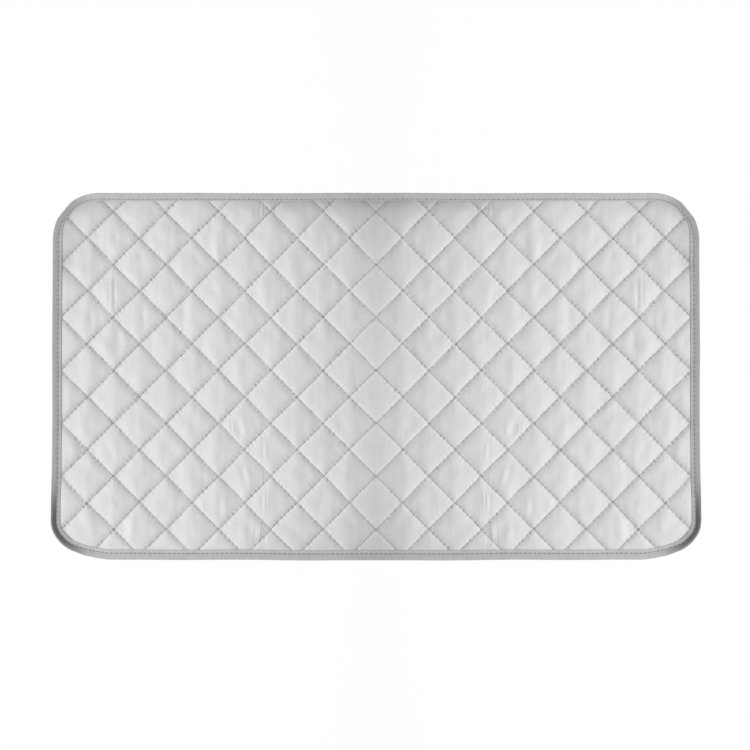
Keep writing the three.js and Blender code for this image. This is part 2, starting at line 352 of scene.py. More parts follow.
# Folds and dents that the photograph shows, on the left half and mirrored: their ends, how high they stand
# and half their width, in mm
CREASES = (
    ((-145.5, -80), (-142.7, -116), 0.50, 3.0),
    ((-149.5, -85), (-148, -114), -0.35, 3.0),
    ((-178, -108), (-168, -152), -0.55, 5.0),
    ((-171, -112), (-163, -150), 0.60, 4.0),
    ((-151, -122), (-147, -148), 0.40, 2.6),
    ((-151, -150), (-148, -184), -0.40, 2.4),
    ((-145, -148), (-146, -182), 0.50, 2.8),
    ((-140, -142), (-141, -178), 0.35, 2.4),
    ((-150, -184), (-154, -226), 0.60, 3.2),
    ((-157, -186), (-160, -224), -0.45, 3.2),
    ((-141, -206), (-143, -228), 0.40, 2.4),
    ((-205, -150), (-204, -190), -0.50, 4.0),
    ((-198, -152), (-198, -186), 0.40, 4.5),
    ((-194, -55), (-190, -78), 0.40, 2.0),
    ((-187, -58), (-187, -78), 0.35, 2.0),
    ((-183, -55), (-176, -84), -0.60, 6.0),
    ((-174, -52), (-170, -84), 0.55, 5.0),
    ((-182, -190), (-181, -214), -0.45, 4.0),
    ((-172, -188), (-171, -224), 0.40, 4.5),
    ((-341.8, 144), (-342.6, 72), -0.55, 3.4),
    ((-346.5, 142), (-347, 78), 0.40, 2.8),
    ((-312, 166), (-307, 148), -0.50, 4.5),
    ((-306, 90), (-303, 60), -0.45, 5.5),
    ((-354, 124), (-353, 94), 0.35, 5.0),
    ((-342, 190), (-341, 170), -0.45, 5.5),
    ((-376, 92), (-372, 56), -0.50, 5.5),
    ((-341, 68), (-336, 32), -0.50, 4.5),
    ((-333, 60), (-330, 32), -0.35, 4.5),
    ((-222, 190), (-221, 174), -0.40, 4.5),
    ((-240, 164), (-230, 144), -0.40, 4.5),
    ((-213, 184), (-206, 150), 0.50, 6.0),
    ((-162, 196), (-162, 232), 0.35, 5.5),
    ((-154, 200), (-151, 232), -0.45, 2.6),
    ((-149, 205), (-149, 232), 0.45, 2.2),
    ((-132, 206), (-131, 232), -0.50, 2.6),
    ((-66, 194), (-64, 158), 0.50, 5.0),
    ((-58, 192), (-56, 172), -0.35, 4.0),
    ((-28, 92), (-27, 68), 0.45, 4.5),
    ((-346, -94), (-344, -118), -0.45, 5.0),
    ((-320, -90), (-318, -124), 0.30, 5.0),
    ((-342, -156), (-336, -176), -0.50, 5.0),
    ((-238, -156), (-236, -186), -0.50, 6.0),
    ((-228, -160), (-226, -186), 0.40, 5.0),
    ((-236, -22), (-235, -52), -0.40, 5.0),
    ((-202, -60), (-200, -88), -0.40, 5.0),
)

# the mesh has the folds from this half width up, in mm, and the material's bump has the narrower ones
WIDE_CREASE = 3.9
# the mesh's folds stand this many times as high, so that they show as the narrow ones do
WIDE_RISE = 3.0
# a fold reaches this share of its length to either side of its middle, and ends this far from a seam
FOLD_REACH = 0.58
FOLD_EDGE = 0.003


def folds(x, y):
    """Height that the wide folds and dents add, the same on both halves of the pad."""
    total = np.zeros_like(x)
    for start, end, rise, half in CREASES:
        if half < WIDE_CREASE:
            continue
        start, end = np.array(start) * MM, np.array(end) * MM
        span = np.linalg.norm(end - start)
        line = (end - start) / span
        across, along = -np.abs(x) - (start[0] + end[0]) / 2, y - (start[1] + end[1]) / 2
        run = (across * line[0] + along * line[1]) / (FOLD_REACH * span)
        aside = (across * line[1] - along * line[0]) / (half * MM)
        total += WIDE_RISE * rise * MM * smooth(1 - np.hypot(run, aside))
    return total


def in_diamond(quilt, p, q):
    """Each point's diamond, as column and row of the pattern, and its place from the diamond's middle.

    The place is measured towards the pad's middle and up, so that both halves of the pad are alike."""
    column = np.floor(p) - np.floor(q)
    row = np.floor(p) + np.floor(q) + 1
    inward = (p - q - column) * quilt.diamond_length / 2 * np.where(column > 0, -1, 1)
    inward = np.where(column == 0, -np.abs(inward), inward)
    up = (p + q - row) * quilt.diamond_width / 2
    return np.abs(column).astype(int), row.astype(int), inward, up


def roof(quilt, p, q):
    """Share of a straight crest across the pad through each diamond, blunt on top."""
    blunt = 0.0013
    _, _, inward, up = in_diamond(quilt, p, q)
    reach = quilt.diamond_length / 2 * (1 - np.abs(up) / (quilt.diamond_width / 2))
    crest = np.hypot(inward, blunt)
    return np.clip(reach - crest, 0, None) / (quilt.diamond_length / 2)


def slack_crest(quilt, p, q):
    """Height of the crest: most near the short sides and over the near half, where the cloth is slackest."""
    x, y = pattern_place(quilt, p, q)
    outer = towards_ends(x)
    low = falling(y, 0.10, 0.15)
    share = 0.2 + 0.62 * outer * (0.7 + 0.3 * low)
    return quilt.crest * share * roof(quilt, p, q)


def ridges(quilt, p, q):
    """Soft folds across the pad inside each diamond, four to a diamond and seeded by it. Sizes are in mm."""
    column, row, inward, up = in_diamond(quilt, p, q)
    window = crown(p, q, 0.5)
    total = np.zeros_like(p)
    for key in {(int(c), int(r)) for c, r in np.unique(np.stack([column, row], 1), axis=0)}:
        mine = (column == key[0]) & (row == key[1])
        dice = np.random.default_rng(SEEDS["ridges"] + 97 * key[0] + key[1])
        strong = dice.uniform(0.5, 1.3)
        for _ in range(4):
            width = dice.uniform(2.6, 7.5)
            height = strong * dice.uniform(0.06, 0.18) * width * dice.choice([-1, 1])
            middle, lean = dice.uniform(-22, 22), dice.normal(0, 0.12)
            end, reach = dice.uniform(-18, 18), dice.uniform(12, 34)
            aside = (inward[mine] - middle * MM - lean * up[mine]) / (width * MM)
            along = (up[mine] - end * MM) / (reach * MM)
            total[mine] += height * MM * np.exp(-(aside**2) - along**2)
    return total * window


def sewn_down(quilt, binding, p, q):
    """Share of its height that the binding's seam leaves each point, its distance inside and the way out."""
    reach, steepness = 0.0080, 1.3
    x, y = pattern_place(quilt, p, q)
    far, _, way = inside(quilt, np.stack([x, y], 1))
    seam = by_side(way, binding.side_seam, binding.far_seam, binding.near_seam)
    return 1 - np.exp(-((np.clip(far - seam, 0, None) / reach) ** steepness)), far, way


def face_height(quilt, binding, p, q):
    """Height of the face cloth's upper side as it is sewn, before the folds."""
    x, y = pattern_place(quilt, p, q)
    free, far, way = sewn_down(quilt, binding, p, q)
    level = quilt.rim_height + (quilt.seam_height - quilt.rim_height) * free
    # the pad's middle is filled more evenly, and near the short sides the cloth has crests instead
    outer = towards_ends(x)
    puff = quilt.puff * (1.25 - 0.25 * outer) * leaning(quilt, p, q)
    puff += quilt.crown * (1.0 - 0.95 * outer) * crown(p, q, 0.8)
    puff += 0.5 * slack_crest(quilt, p, q)
    puff *= 1 + 0.06 * uneven(x, y, 0.05, SEEDS["puffs"])
    return level + puff * free, far, way


def face_folds(quilt, binding, p, q):
    """Height that the crests, soft ridges, folds and stitches' dents add to the settled face cloth."""
    free, _, _ = sewn_down(quilt, binding, p, q)
    x, y = pattern_place(quilt, p, q)
    added = 0.6 * slack_crest(quilt, p, q) + 1.2 * ridges(quilt, p, q)
    added += folds(x, y) * swelling(quilt, p, q, FOLD_EDGE)
    # dents about 24 mm wide
    added += 0.26 * MM * uneven(x, y, 0.024, SEEDS["dents"]) * swelling(quilt, p, q, quilt.puff_edge)
    return (added - stitch_pull(quilt, p, q)) * free


def painted_face_shade(quilt, binding, p, q):
    """Painted shade on the coating by the binding and in the pad's middle, and painted highlight and shade
    beside the seams.
    """
    x, y = pattern_place(quilt, p, q)
    far, _, way = inside(quilt, np.stack([x, y], 1))
    leg = by_side(way, binding.side_leg, binding.far_leg, binding.near_leg)
    deep = np.clip(far - leg, 0, None)
    sides, ahead = way[:, 0] ** 2, np.clip(way[:, 1], 0, 1) ** 2
    middle = middle_part(x)
    # painted shade beside the tape, and most in the far corners
    ends = rising(np.abs(x), 0.31, 0.06) * rising(y, 0.10, 0.06)
    painted_shade = np.exp(-deep / 0.013) * (0.06 * ahead + 0.07 * sides + 0.20 * ends)
    # painted shade along the far side's middle, and a little near the short sides
    painted_shade += 0.29 * middle * ahead * np.exp(-deep / 0.017) + 0.02 * rising(np.abs(x), 0.22, 0.14)
    # painted shade across the pad's middle, and most on its middle line
    painted_shade += 0.035 * falling(np.abs(x), 0.17, 0.12) + 0.03 * falling(np.abs(x), 0.047, 0.03)
    # painted shade along the near side's middle
    painted_shade += 0.08 * middle * np.clip(-way[:, 1], 0, 1) * np.exp(-deep / 0.026)
    tone = 1 - painted_shade
    # beside each seam, the flank that faces the nearer short side gets a painted highlight and the other
    # flank painted shade, which also reaches a little further off
    outer = towards_ends(x)
    for gap, first in zip(seam_gaps(quilt, p, q), outward(p, q)):
        near = np.where(first, 0.12 - 0.11 * outer, -0.03 - 0.04 * outer)
        tone += near * hump(gap, 1.4 * MM, 1.9 * MM)
        tone -= np.where(first, 0.0, 0.02 + 0.03 * outer) * hump(gap, 3.5 * MM, 2.0 * MM)
    return tone


def backing_height(quilt, binding, p, q):
    """Height of the backing cloth's underside. Its puffs lie on the table, so they are flat there."""
    x, y = pattern_place(quilt, p, q)
    far, _, way = inside(quilt, np.stack([x, y], 1))
    leg = by_side(way, binding.side_leg, binding.far_leg, binding.near_leg)
    open_share = 1 - np.exp(-np.clip(far - leg - 0.002, 0, None) / 0.005)
    level = quilt.back_rim + (quilt.back_seam - quilt.back_rim) * open_share
    reach = quilt.back_seam - quilt.back_rest
    # the puffs would hang this many mm below the seams, and the table stops them this firmly
    full, firm = 3.4, 1.4
    puff = full * MM * swelling(quilt, p, q, 0.006) + 0.5 * ridges(quilt, p, q)
    pressed = 1 - np.exp(-np.clip(puff, 0, None) / reach * firm)
    puff = reach * pressed / (1 - math.exp(-firm * full * MM / reach))
    puff -= 0.5 * stitch_pull(quilt, p, q)
    return level - np.clip(puff, -1, reach) * open_share


# Small tools for the meshes

# vertices closer than this are one and the same
SAME_PLACE = 1e-6


def deselect():
    """Leaves nothing selected, so that an operator acts only on the new piece."""
    bpy.ops.object.select_all(action="DESELECT")


def only(piece):
    """Makes one piece the selected and active one."""
    deselect()
    piece.select_set(True)
    bpy.context.view_layer.objects.active = piece


def places(piece):
    """The piece's vertices as rows of x, y and z."""
    flat = np.empty(len(piece.data.vertices) * 3)
    piece.data.vertices.foreach_get("co", flat)
    return flat.reshape(-1, 3)


def place_all(piece, rows):
    """Moves the piece's vertices to the given rows of x, y and z."""
    piece.data.vertices.foreach_set("co", np.ascontiguousarray(rows, dtype=float).ravel())
    piece.data.update()


def grid_piece(name, columns, rows):
    """A flat grid of that many faces, with each vertex's column and row."""
    deselect()
    bpy.ops.mesh.primitive_grid_add(x_subdivisions=columns, y_subdivisions=rows, size=2)
    piece = bpy.context.object
    piece.name = piece.data.name = name
    spots = places(piece)
    column = np.rint((spots[:, 0] + 1) / 2 * columns).astype(int)
    row = np.rint((spots[:, 1] + 1) / 2 * rows).astype(int)
    return piece, column, row


def remove_vertices(piece, unwanted):
    """Deletes the marked vertices in edit mode."""
    only(piece)
    bpy.ops.object.mode_set(mode="EDIT")
    bpy.ops.mesh.select_mode(type="VERT")
    bpy.ops.mesh.select_all(action="DESELECT")
    bpy.ops.object.mode_set(mode="OBJECT")
    piece.data.vertices.foreach_set("select", unwanted)
    bpy.ops.object.mode_set(mode="EDIT")
    bpy.ops.mesh.delete(type="VERT")
    bpy.ops.object.mode_set(mode="OBJECT")


def on_whole(piece, operator, **settings):
    """Runs one mesh operator on the whole piece in edit mode."""
    only(piece)
    bpy.ops.object.mode_set(mode="EDIT")
    bpy.ops.mesh.select_all(action="SELECT")
    operator(**settings)
    bpy.ops.object.mode_set(mode="OBJECT")


def apply_modifier(piece, kind, **settings):
    """Adds one modifier with its settings and applies it."""
    only(piece)
    modifier = piece.modifiers.new(kind.title(), kind)
    for name, value in settings.items():
        setattr(modifier, name, value)
    bpy.ops.object.modifier_apply(modifier=modifier.name)


def give_map(piece, name, u, v):
    """Gives the piece a UV map from one pair of numbers a vertex."""
    layer = piece.data.uv_layers.get(name) or piece.data.uv_layers.new(name=name)
    corner = np.empty(len(piece.data.loops), dtype=int)
    piece.data.loops.foreach_get("vertex_index", corner)
    layer.uv.foreach_set("vector", np.stack([u[corner], v[corner]], 1).ravel())


def finish_piece(piece, material, slot, *nodes):
    """Smooths and dresses a piece, and lets it stand for its CAD nodes."""
    only(piece)
    bpy.ops.object.shade_smooth()
    piece.data.materials.clear()
    piece.data.materials.append(material)
    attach(piece, "root")
    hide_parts(*nodes)


def quilted_grid(quilt, name):
    """A flat sheet whose mesh lines follow the quilting, trimmed to the pad, with each vertex's p and q."""
    cells = 10
    side = diamond_side(quilt)
    steps = quilt.stitches * 2
    beside = 1.2 * MM / side
    one = [k / steps for k in range(steps)] + [beside, 1 - beside]
    lines = np.array([c + share for c in range(-cells, cells) for share in sorted(one)] + [cells])
    piece, column, row = grid_piece(name, len(lines) - 1, len(lines) - 1)
    p, q = lines[column], lines[row]
    x, y = pattern_place(quilt, p, q)
    far, near, way = inside(quilt, np.stack([x, y], 1))
    # vertices just outside the cut edge move onto it, and those further out go
    slack = 0.6 * side / steps
    over = far < quilt.raw_edge
    x = np.where(over, near[:, 0] - way[:, 0] * quilt.raw_edge, x)
    y = np.where(over, near[:, 1] - way[:, 1] * quilt.raw_edge, y)
    place_all(piece, np.stack([x, y, np.zeros_like(x)], 1))
    drop = far < quilt.raw_edge - slack
    give_map(piece, "Quilting", p, q)
    remove_vertices(piece, drop)
    return piece, p[~drop], q[~drop]


def top_of(piece, x, y):
    """Height of the piece's upper side under each place, or 0 where there is none."""
    above = 0.02
    found = np.zeros(len(x))
    for i, (a, b) in enumerate(zip(x, y)):
        hit, spot, _, _ = piece.ray_cast((a, b, above), (0, 0, -1), distance=above)
        if hit:
            found[i] = spot.z
    return found


def neighbours_mean(piece, values):
    """Each vertex's mean over the vertices joined to it."""
    ends = np.empty(len(piece.data.edges) * 2, dtype=int)
    piece.data.edges.foreach_get("vertices", ends)
    ends = ends.reshape(-1, 2)
    total = np.zeros_like(values)
    count = np.zeros(len(values))
    for a, b in ((0, 1), (1, 0)):
        np.add.at(total, ends[:, a], values[ends[:, b]])
        np.add.at(count, ends[:, a], 1)
    return total / np.maximum(count, 1)[:, None]


# the cloth's weight and stiffness and the wadding's pressure, which let it swell softly between its seams
CLOTH_SETTINGS = {
    "mass": 0.3, "tension_stiffness": 15, "compression_stiffness": 5, "shear_stiffness": 5,
    "bending_stiffness": 30, "vertex_group_mass": "Held", "pin_stiffness": 2, "use_pressure": True,
    "uniform_pressure_force": 1.2,
}
SETTLE_SCALE = 10.0
SETTLE_STEPS = 12


def settle(piece, held, slack_along, slack_across, most):
    """Lets Blender's cloth settle over the wadding, ten times life size, and caps how far a point moves."""
    start = places(piece)
    place_all(piece, start * SETTLE_SCALE)
    only(piece)
    group = piece.vertex_groups.new(name="Held")
    for weight in np.unique(held):
        group.add([int(i) for i in np.nonzero(held == weight)[0]], float(weight), "REPLACE")
    # the cloth is cut flat and a little too long, so that it is slack between its seams
    piece.shape_key_add(name="Sewn")
    cut = piece.shape_key_add(name="Cut")
    flat = start * SETTLE_SCALE
    flat = flat * (1 + slack_along, 1 + slack_across, 0)
    cut.data.foreach_set("co", flat.ravel())
    weld = piece.modifiers.new("Weld", "WELD")
    weld.merge_threshold = SAME_PLACE
    cloth = piece.modifiers.new("Cloth", "CLOTH")
    for name, value in CLOTH_SETTINGS.items():
        setattr(cloth.settings, name, value)
    cloth.settings.rest_shape_key = cut
    cloth.settings.effector_weights.gravity = 0
    cloth.collision_settings.use_collision = False
    cloth.point_cache.frame_start = 1
    cloth.point_cache.frame_end = SETTLE_STEPS + 2
    for step in range(1, SETTLE_STEPS + 1):
        bpy.context.scene.frame_set(step)
    graph = bpy.context.evaluated_depsgraph_get()
    settled = bpy.data.meshes.new_from_object(piece.evaluated_get(graph), depsgraph=graph)
    rows = np.empty(len(settled.vertices) * 3)
    settled.vertices.foreach_get("co", rows)
    bpy.data.meshes.remove(settled)
    piece.modifiers.clear()
    piece.shape_key_clear()
    piece.vertex_groups.clear()
    bpy.context.scene.frame_set(1)
    move = rows.reshape(-1, 3) / SETTLE_SCALE - start
    reach = np.linalg.norm(move, axis=1)[:, None]
    move *= np.minimum(1, most / np.maximum(reach, 1e-9))
    for _ in range(2):
        softer = 0.5 * move + 0.5 * neighbours_mean(piece, move)
        move = np.where(held[:, None] < 1, softer, move)
    place_all(piece, start + move)


# Materials


def add_node(tree, kind, inputs=None, **settings):
    """Adds one node, with its settings, its values and the sockets linked into it."""
    node = tree.nodes.new(kind)
    for name, value in settings.items():
        setattr(node, name, value)
    for socket, value in (inputs or {}).items():
        if isinstance(value, bpy.types.NodeSocket):
            tree.links.new(value, node.inputs[socket])
        else:
            node.inputs[socket].default_value = value
    return node


def new_material(name):
    """An empty material, with its node tree and output."""
    material = bpy.data.materials.new(name)
    material.use_nodes = True
    tree = material.node_tree
    tree.nodes.clear()
    return material, tree, tree.nodes.new("ShaderNodeOutputMaterial")


def silver_coated_cotton(colours, quilt):
    """Cotton coated with aluminium pigment: pale grey, with a soft satin shine and faint long streaks."""
    material, tree, out = new_material("silver_coated_cotton")
    spot = add_node(tree, "ShaderNodeTexCoord").outputs["Object"]
    # streaks of the coating along the roll, about 60 mm long and 5 mm wide
    rolled = add_node(tree, "ShaderNodeMapping", {"Vector": spot, "Scale": (190, 16, 1)})
    streaks = add_node(tree, "ShaderNodeTexNoise", {"Vector": rolled.outputs[0], "Scale": 1, "Detail": 3})
    shade = add_node(
        tree, "ShaderNodeMapRange",
        {"Value": streaks.outputs["Fac"], "From Min": 0.3, "From Max": 0.7, "To Min": 0.97, "To Max": 1.02},
    ).outputs[0]
    # painted shade and highlight from the map: darker beside the binding and in the pad's middle, lighter on
    # one flank of each seam and darker on the other
    painted_shading = add_node(tree, "ShaderNodeUVMap", uv_map="PaintedShade").outputs[0]
    painted_shading = add_node(tree, "ShaderNodeSeparateXYZ", {"Vector": painted_shading})
    shade = add_node(
        tree, "ShaderNodeMath", {0: shade, 1: painted_shading.outputs["X"]}, operation="MULTIPLY"
    ).outputs[0]
    # all heights below are in mm, and one bump at the end shades them
    # the cloth's hand: soft dents about 9 mm wide
    dents = add_node(tree, "ShaderNodeTexNoise", {"Vector": spot, "Scale": 110, "Detail": 2})
    height = add_node(tree, "ShaderNodeMath", {0: dents.outputs["Fac"], 1: 0.6}, operation="MULTIPLY")
    # fine creases across the pad, 2 to 4 mm apart
    creased = add_node(tree, "ShaderNodeMapping", {"Vector": spot, "Scale": (330, 40, 1)})
    creases = add_node(tree, "ShaderNodeTexNoise", {"Vector": creased.outputs[0], "Scale": 1, "Detail": 4})
    height = add_node(
        tree, "ShaderNodeMath", {0: creases.outputs["Fac"], 1: 0.06, 2: height.outputs[0]},
        operation="MULTIPLY_ADD",
    )
    # plain weave under the coating: threads 0.35 mm apart, drawn at 0.9 mm so that they show
    weave = []
    for direction in ("X", "Y"):
        weave.append(
            add_node(
                tree, "ShaderNodeTexWave", {"Vector": spot, "Scale": 1 / 0.9 / MM / 2, "Distortion": 0.4},
                wave_type="BANDS", bands_direction=direction,
            ).outputs["Fac"]
        )
    woven = add_node(tree, "ShaderNodeMath", {0: weave[0], 1: weave[1]}, operation="MULTIPLY")
    height = add_node(
        tree, "ShaderNodeMath", {0: woven.outputs[0], 1: 0.02, 2: height.outputs[0]},
        operation="MULTIPLY_ADD",
    )
    # the folds and dents that the photograph shows
    parts = add_node(tree, "ShaderNodeSeparateXYZ", {"Vector": spot})
    left = add_node(tree, "ShaderNodeMath", {0: parts.outputs["X"]}, operation="ABSOLUTE")
    left = add_node(tree, "ShaderNodeMath", {0: left.outputs[0], 1: -1.0}, operation="MULTIPLY")
    halved = add_node(tree, "ShaderNodeCombineXYZ", {"X": left.outputs[0], "Y": parts.outputs["Y"]})
    for start, end, rise, half in CREASES:
        if half >= WIDE_CREASE:
            continue
        along = math.hypot(end[0] - start[0], end[1] - start[1])
        turn = math.atan2(end[1] - start[1], end[0] - start[0])
        middle = ((start[0] + end[0]) / 2 * MM, (start[1] + end[1]) / 2 * MM, 0)
        local = add_node(
            tree, "ShaderNodeMapping",
            {
                "Vector": halved.outputs[0], "Location": middle, "Rotation": (0, 0, turn),
                "Scale": (along * FOLD_REACH * MM, half * MM, 1),
            },
            vector_type="TEXTURE",
        )
        reach = add_node(tree, "ShaderNodeVectorMath", {0: local.outputs[0]}, operation="LENGTH")
        fold = add_node(
            tree, "ShaderNodeMapRange",
            {"Value": reach.outputs["Value"], "From Min": 0, "From Max": 1, "To Min": rise, "To Max": 0},
            interpolation_type="SMOOTHSTEP",
        )
        height = add_node(
            tree, "ShaderNodeMath", {0: height.outputs[0], 1: fold.outputs[0]}, operation="ADD"
        )
    # beside a seam the cloth gathers at each stitch, and the seam's line sinks in, with painted shade along
    # it
    place = add_node(tree, "ShaderNodeUVMap", uv_map="Quilting").outputs[0]
    split = add_node(tree, "ShaderNodeSeparateXYZ", {"Vector": place})
    side = diamond_side(quilt) / MM
    patches = add_node(tree, "ShaderNodeTexNoise", {"Vector": spot, "Scale": 90, "Detail": 1})
    uneven_pull = add_node(
        tree, "ShaderNodeMapRange",
        {"Value": patches.outputs["Fac"], "From Min": 0.35, "From Max": 0.65, "To Min": 0.35, "To Max": 1.7},
    )
    for across, along in (("X", "Y"), ("Y", "X")):
        off = add_node(tree, "ShaderNodeMath", {0: split.outputs[across], 1: 0.5}, operation="PINGPONG")
        off = add_node(tree, "ShaderNodeMath", {0: off.outputs[0], 1: side}, operation="MULTIPLY")
        run = add_node(tree, "ShaderNodeMath", {0: split.outputs[along], 1: side}, operation="MULTIPLY")
        valley = add_node(
            tree, "ShaderNodeMapRange",
            {"Value": off.outputs[0], "From Min": 0.1, "From Max": 2.8, "To Min": -0.3, "To Max": 0.0},
            interpolation_type="SMOOTHSTEP",
        )
        height = add_node(
            tree, "ShaderNodeMath", {0: height.outputs[0], 1: valley.outputs[0]}, operation="ADD"
        )
        # the gathers fade over 2.4 mm
        fade = add_node(tree, "ShaderNodeMath", {0: off.outputs[0], 1: -1 / 2.4}, operation="MULTIPLY")
        fade = add_node(tree, "ShaderNodeMath", {0: fade.outputs[0]}, operation="EXPONENT")
        fade = add_node(
            tree, "ShaderNodeMath", {0: fade.outputs[0], 1: uneven_pull.outputs[0]}, operation="MULTIPLY"
        )
        # one wave a stitch
        turns = add_node(
            tree, "ShaderNodeMath", {0: split.outputs[along], 1: math.tau * quilt.stitches},
            operation="MULTIPLY",
        )
        waves = add_node(tree, "ShaderNodeMath", {0: turns.outputs[0]}, operation="COSINE")
        # smaller gathers, 3 mm apart and 6 mm long
        short = add_node(tree, "ShaderNodeMath", {0: off.outputs[0], 1: 1 / 6}, operation="MULTIPLY")
        close = add_node(tree, "ShaderNodeMath", {0: run.outputs[0], 1: 1 / 2.8}, operation="MULTIPLY")
        flat = add_node(tree, "ShaderNodeCombineXYZ", {"X": short.outputs[0], "Y": close.outputs[0]})
        small = add_node(
            tree, "ShaderNodeTexNoise", {"Vector": flat.outputs[0], "Scale": 1, "Detail": 1}, normalize=False
        )
        mixed = add_node(tree, "ShaderNodeMath", {0: waves.outputs[0], 1: -0.25}, operation="MULTIPLY")
        mixed = add_node(
            tree, "ShaderNodeMath", {0: small.outputs["Fac"], 1: 0.8, 2: mixed.outputs[0]},
            operation="MULTIPLY_ADD",
        )
        gathers = add_node(
            tree, "ShaderNodeMath", {0: mixed.outputs[0], 1: fade.outputs[0]}, operation="MULTIPLY"
        )
        height = add_node(
            tree, "ShaderNodeMath", {0: height.outputs[0], 1: gathers.outputs[0]}, operation="ADD"
        )
        # painted shade along the sunken seam line, darkest at the needle holes
        hole = add_node(
            tree, "ShaderNodeMapRange",
            {"Value": waves.outputs[0], "From Min": 0.0, "From Max": 1.0, "To Min": 0.84, "To Max": 0.70},
        )
        sunk = add_node(
            tree, "ShaderNodeMapRange",
            {
                "Value": off.outputs[0], "From Min": 0.3, "From Max": 0.9, "To Min": hole.outputs[0],
                "To Max": 1.0,
            },
            interpolation_type="SMOOTHSTEP",
        )
        shade = add_node(
            tree, "ShaderNodeMath", {0: shade, 1: sunk.outputs[0]}, operation="MULTIPLY"
        ).outputs[0]
    base = add_node(
        tree, "ShaderNodeVectorMath", {0: tuple(colours.face), "Scale": shade}, operation="SCALE"
    )
    bumps = add_node(
        tree, "ShaderNodeBump", {"Height": height.outputs[0], "Strength": 1.0, "Distance": 1.12 * MM}
    )
    rough = add_node(
        tree, "ShaderNodeMapRange",
        {"Value": streaks.outputs["Fac"], "From Min": 0.3, "From Max": 0.7, "To Min": 0.56, "To Max": 0.64},
    )
    # a low gloss, so that a low light doesn't turn the cloth white
    cloth = add_node(
        tree, "ShaderNodeBsdfPrincipled",
        {
            "Base Color": base.outputs[0], "Metallic": 0.08, "Specular IOR Level": 0.2,
            "Roughness": rough.outputs[0], "Normal": bumps.outputs[0],
        },
    )
    tree.links.new(cloth.outputs[0], out.inputs["Surface"])
    return material


def plain_fibre(name, tint, roughness, grain, bump):
    """A matt fibre cloth: its colour, a fine grain and a little unevenness."""
    material, tree, out = new_material(name)
    spot = add_node(tree, "ShaderNodeTexCoord").outputs["Object"]
    noise = add_node(tree, "ShaderNodeTexNoise", {"Vector": spot, "Scale": grain, "Detail": 4})
    tone = add_node(
        tree, "ShaderNodeMapRange",
        {"Value": noise.outputs["Fac"], "From Min": 0.3, "From Max": 0.7, "To Min": 0.93, "To Max": 1.03},
    )
    base = add_node(
        tree, "ShaderNodeVectorMath", {0: tuple(tint), "Scale": tone.outputs[0]}, operation="SCALE"
    )
    bumps = add_node(
        tree, "ShaderNodeBump", {"Height": noise.outputs["Fac"], "Strength": 1.0, "Distance": bump}
    )
    cloth = add_node(
        tree, "ShaderNodeBsdfPrincipled",
        {
            "Base Color": base.outputs[0], "Roughness": roughness, "Normal": bumps.outputs[0],
            "Sheen Weight": 0.15,
        },
    )
    tree.links.new(cloth.outputs[0], out.inputs["Surface"])
    return material


